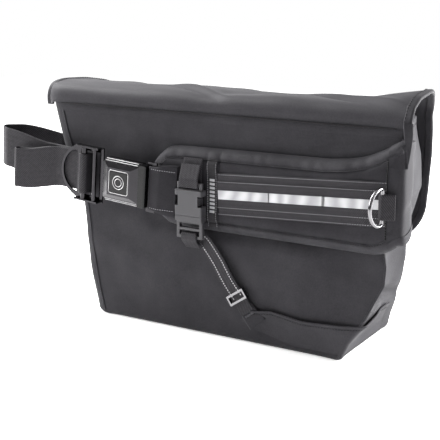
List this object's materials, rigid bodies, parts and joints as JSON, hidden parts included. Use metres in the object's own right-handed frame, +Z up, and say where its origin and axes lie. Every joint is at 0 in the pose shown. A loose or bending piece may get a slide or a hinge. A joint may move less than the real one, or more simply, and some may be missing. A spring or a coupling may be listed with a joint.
{
  "type": "messenger bag",
  "caption": "Courier shoulder bag with a wide flap, padded cross-body harness, push-button main buckle, webbing adjuster and stabilizer strap with side-release clip.",
  "frame": {"origin": "centre of the underside, on the surface that the bag stands on", "axes": "+Z up, -Y out of the harness side (the back panel), +X towards the end that the pad is sewn to"},
  "size_m": [0.5409, 0.2018, 0.2894],
  "materials": {
    "shell_cloth": "coated woven polyester",
    "liner_cloth": "coated truck tarpaulin, smooth",
    "board": "polyethylene sheet",
    "binding_tape": "ribbed edge tape",
    "zip_tape": "coil zip on woven tape",
    "hook_and_loop": "hook-and-loop tape",
    "mesh_cloth": "spacer mesh",
    "foam": "closed-cell foam",
    "webbing": "ribbed nylon seat-belt webbing",
    "reflective": "glass-bead reflective tape",
    "thread": "bonded nylon thread",
    "label": "woven label tape",
    "clip_plastic": "moulded acetal",
    "black_plastic": "moulded, semi-gloss",
    "buckle_metal": "black-nickel plated",
    "steel": "nickel plated, polished"
  },
  "bodies": {
    "bag": {"back_panel": "shell_cloth", "front_panel": "shell_cloth", "gusset_left": "shell_cloth", "gusset_right": "shell_cloth", "base_panel": "shell_cloth", "liner": "liner_cloth", "base_board": "board", "mouth_binding": "binding_tape", "seam_tape": "binding_tape", "back_piping": "binding_tape", "front_pocket": "shell_cloth", "pocket_zip": "zip_tape", "loop_strips": "hook_and_loop", "pad_backing": "mesh_cloth", "pad_foam": "foam", "pad_edge": "binding_tape", "pad_face": "shell_cloth", "pad_webbing": "webbing", "daisy_webbing": "webbing", "reflective_strip": "reflective", "bartacks": "thread", "label_tab": "label", "d_ring_keeper": "webbing", "anchor_wrap": "shell_cloth", "clip_tab": "webbing", "clip_socket": "clip_plastic", "stabilizer_strap": "webbing", "wing_back": "shell_cloth", "wing_side": "shell_cloth", "wing_tab": "webbing", "tongue_plate": "steel", "tongue_cover": "black_plastic", "tongue_webbing": "webbing", "shoulder_webbing": "webbing", "strap_anchor": "webbing"},
    "flap_top": {"flap_top_shell": "shell_cloth", "flap_top_lining": "liner_cloth", "flap_top_binding": "binding_tape"},
    "flap_front": {"flap_front_shell": "shell_cloth", "flap_front_lining": "liner_cloth", "flap_front_binding": "binding_tape", "hook_strips": "hook_and_loop"},
    "zip_slider": {"zip_slider": "steel"},
    "buckle": {"buckle_cover": "buckle_metal", "buckle_frame": "buckle_metal", "adjuster_fixed_bar": "buckle_metal", "strap_tail": "webbing", "button_spring": "steel"},
    "push_button": {"push_button": "black_plastic"},
    "latch_plate": {"latch_plate": "steel"},
    "ejector": {"ejector": "steel"},
    "slide_bar": {"adjuster_slide_bar": "buckle_metal", "bar_webbing": "webbing"},
    "clip_plug": {"clip_plug": "clip_plastic", "clip_strap_loop": "webbing"},
    "clip_arm_left": {"clip_arm_left": "clip_plastic"},
    "clip_arm_right": {"clip_arm_right": "clip_plastic"},
    "d_ring": {"d_ring": "steel"},
    "strap_slider": {"strap_slider": "steel"}
  },
  "joints": [
    {"name": "flap_lift", "type": "hinge", "parent": "bag", "child": "flap_top", "pos_m": [0, -0.0762, 0.258], "axis": [1, 0, 0], "range_deg": [0, 150]},
    {"name": "flap_fold", "type": "hinge", "parent": "flap_top", "child": "flap_front", "pos_m": [0, 0.053, 0.268], "axis": [1, 0, 0], "range_deg": [0, 85]},
    {"name": "zip_slide", "type": "slide", "parent": "bag", "child": "zip_slider", "axis": [1, 0, 0], "range_m": [0, 0.18]},
    {"name": "buckle_release", "type": "slide", "parent": "bag", "child": "buckle", "axis": [-0.9968, 0, 0.0802], "range_m": [0, 0.03]},
    {"name": "button_press", "type": "slide", "parent": "buckle", "child": "push_button", "axis": [0, 1, 0], "range_m": [0, 0.0025], "stiffness_N_per_m": 300, "deforming": ["button_spring"]},
    {"name": "latch_lift", "type": "hinge", "parent": "buckle", "child": "latch_plate", "pos_m": [-0.11744, -0.0989, 0.17608], "axis": [-0.0802, 0, -0.9968], "range_deg": [0, 2.5]},
    {"name": "ejector_push", "type": "slide", "parent": "buckle", "child": "ejector", "axis": [0.9968, 0, -0.0802], "range_m": [0, 0.008]},
    {"name": "slide_bar_shift", "type": "slide", "parent": "buckle", "child": "slide_bar", "axis": [0.9968, 0, -0.0802], "range_m": [0, 0.003]},
    {"name": "clip_release", "type": "slide", "parent": "bag", "child": "clip_plug", "axis": [0, 0, -1], "range_m": [0, 0.025]},
    {"name": "clip_squeeze_right", "type": "hinge", "parent": "clip_plug", "child": "clip_arm_right", "pos_m": [0.0011, -0.0985, 0.146], "axis": [0, -1, 0], "range_deg": [0, 7], "stiffness_Nm_per_rad": 0.5},
    {"name": "clip_squeeze_left", "type": "hinge", "parent": "clip_plug", "child": "clip_arm_left", "pos_m": [-0.0171, -0.0985, 0.146], "axis": [0, -1, 0], "range_deg": [-7, 0], "stiffness_Nm_per_rad": 0.5},
    {"name": "d_ring_swing", "type": "hinge", "parent": "bag", "child": "d_ring", "pos_m": [0.219, -0.0981, 0.181], "axis": [0, 0, 1], "range_deg": [-75, 90]},
    {"name": "slider_shift", "type": "slide", "parent": "bag", "child": "strap_slider", "axis": [-0.5599, 0, 0.8286], "range_m": [0, 0.03]}
  ],
  "couplings": [
    {"joint": "latch_lift", "follows": "button_press", "rad_per_m": 17.4},
    {"joint": "ejector_push", "follows": "buckle_release", "ratio": 0.26},
    {"joint": "clip_squeeze_left", "follows": "clip_squeeze_right", "ratio": -1}
  ]
}
